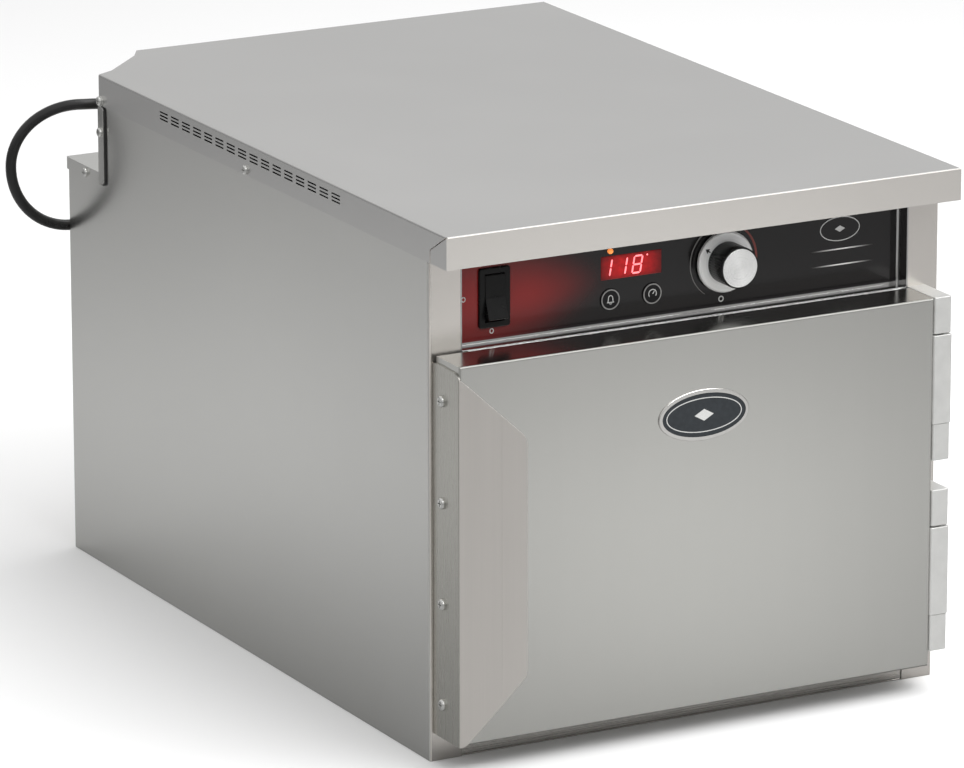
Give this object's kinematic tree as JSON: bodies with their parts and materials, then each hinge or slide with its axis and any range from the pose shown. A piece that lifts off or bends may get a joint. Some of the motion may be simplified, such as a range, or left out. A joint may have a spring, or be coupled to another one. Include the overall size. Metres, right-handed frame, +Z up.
{
  "type": "food holding cabinet",
  "caption": "Countertop heated holding cabinet: insulated stainless box with a side hinged door, full height pull, recessed control panel, vented cover and looped power cord.",
  "frame": {"origin": "centre of the base footprint, on the counter", "axes": "+X to the cabinet's right seen from the front, +Y to the back, +Z up; the door faces -Y"},
  "size_m": [0.5441, 0.7639, 0.452],
  "materials": {
    "casing_steel": "brushed satin stainless",
    "cover_steel": "fine satin stainless",
    "door_steel": "satin stainless with a polished upper edge",
    "pull_steel": "satin stainless",
    "liner_steel": "bright rolled stainless",
    "panel_steel": "polished stainless",
    "galvanised": "dull galvanised",
    "screw_steel": "bright stainless",
    "hinge_metal": "satin die cast",
    "pin_steel": "ground",
    "wool": "mineral wool",
    "foam": "closed cell foam board",
    "gasket_rubber": "silicone",
    "cord_rubber": "smooth satin",
    "overlay_film": "printed glossy film, red fading to black",
    "display_red": "tinted lens",
    "lamp_amber": "amber lens",
    "key_plastic": "printed keys",
    "switch_plastic": "fine grained black",
    "dial_silver": "spun",
    "circuit_board": "lacquered board",
    "module_plastic": "moulded",
    "badge_enamel": "plain dark enamel in a bright rim",
    "motor_paint": "satin black",
    "heater_sheath": "oxidised sheath",
    "sensor_metal": "bright",
    "wire_jacket": "insulated wire"
  },
  "bodies": {
    "cabinet": {"left_side_panel": "casing_steel", "right_side_panel": "casing_steel", "back_panel": "casing_steel", "base_panel": "casing_steel", "bottom_rail": "casing_steel", "notch_cover": "casing_steel", "corner_strap": "casing_steel", "cord_ledge": "casing_steel", "top_cover": "cover_steel", "cavity_liner": "liner_steel", "air_duct": "liner_steel", "control_panel": "panel_steel", "component_deck": "galvanised", "casing_screws": "screw_steel", "hinge_mount_screws": "screw_steel", "rack_studs": "screw_steel", "cord_clamp": "screw_steel", "thermostat_nut": "screw_steel", "hinge_fixed_knuckles": "hinge_metal", "hinge_pins": "pin_steel", "insulation_batts": "wool", "corner_seal": "gasket_rubber", "power_cord": "cord_rubber", "power_plug": "cord_rubber", "strain_relief": "cord_rubber", "control_overlay": "overlay_film", "display_window": "display_red", "indicator_lamp": "lamp_amber", "switch_housing": "switch_plastic", "thermostat_body": "switch_plastic", "magnetic_catch": "switch_plastic", "controller_board": "circuit_board", "display_module": "module_plastic", "terminal_block": "module_plastic", "blower_motor": "motor_paint", "transformer": "motor_paint", "heater_element": "heater_sheath", "temperature_probe": "sensor_metal", "high_limit": "sensor_metal", "wiring_loom": "wire_jacket"},
    "door": {"door_skin": "door_steel", "door_liner": "liner_steel", "door_insulation": "foam", "door_gasket": "gasket_rubber", "door_badge": "badge_enamel", "door_pull": "pull_steel", "pull_screws": "screw_steel", "catch_strike": "screw_steel", "hinge_moving_knuckles": "hinge_metal", "hinge_edge_screws": "screw_steel"},
    "power_rocker": {"switch_rocker": "switch_plastic"},
    "alarm_key": {"alarm_button": "key_plastic"},
    "recall_key": {"recall_button": "key_plastic"},
    "temperature_knob": {"control_knob": "switch_plastic", "knob_cap": "dial_silver", "knob_dial": "dial_silver", "thermostat_shaft": "pin_steel"},
    "blower_rotor": {"blower_wheel": "galvanised"},
    "left_rack": {"rack_left": "liner_steel"},
    "right_rack": {"rack_right": "liner_steel"}
  },
  "joints": [
    {"name": "door_hinge", "type": "hinge", "parent": "cabinet", "child": "door", "pos_m": [0.2245, -0.382, 0.19], "axis": [0, 0, 1], "range_deg": [0, 180]},
    {"name": "power_rocker_tilt", "type": "hinge", "parent": "cabinet", "child": "power_rocker", "pos_m": [-0.1745, -0.329, 0.3836], "axis": [1, 0, 0], "range_deg": [0, 20]},
    {"name": "alarm_key_press", "type": "slide", "parent": "cabinet", "child": "alarm_key", "axis": [0, 1, 0], "range_m": [0, 0.001], "stiffness_N_per_m": 400},
    {"name": "recall_key_press", "type": "slide", "parent": "cabinet", "child": "recall_key", "axis": [0, 1, 0], "range_m": [0, 0.001], "stiffness_N_per_m": 400},
    {"name": "temperature_knob_turn", "type": "hinge", "parent": "cabinet", "child": "temperature_knob", "pos_m": [0.0412, -0.329, 0.3868], "axis": [0, 1, 0], "range_deg": [-123, 177]},
    {"name": "blower_spin", "type": "hinge", "parent": "cabinet", "child": "blower_rotor", "pos_m": [0, 0.12, 0.3], "axis": [0, 0, 1], "continuous": true},
    {"name": "left_rack_lift", "type": "slide", "parent": "cabinet", "child": "left_rack", "axis": [0, 0, 1], "range_m": [0, 0.0136]},
    {"name": "right_rack_lift", "type": "slide", "parent": "cabinet", "child": "right_rack", "axis": [0, 0, 1], "range_m": [0, 0.0136]}
  ]
}
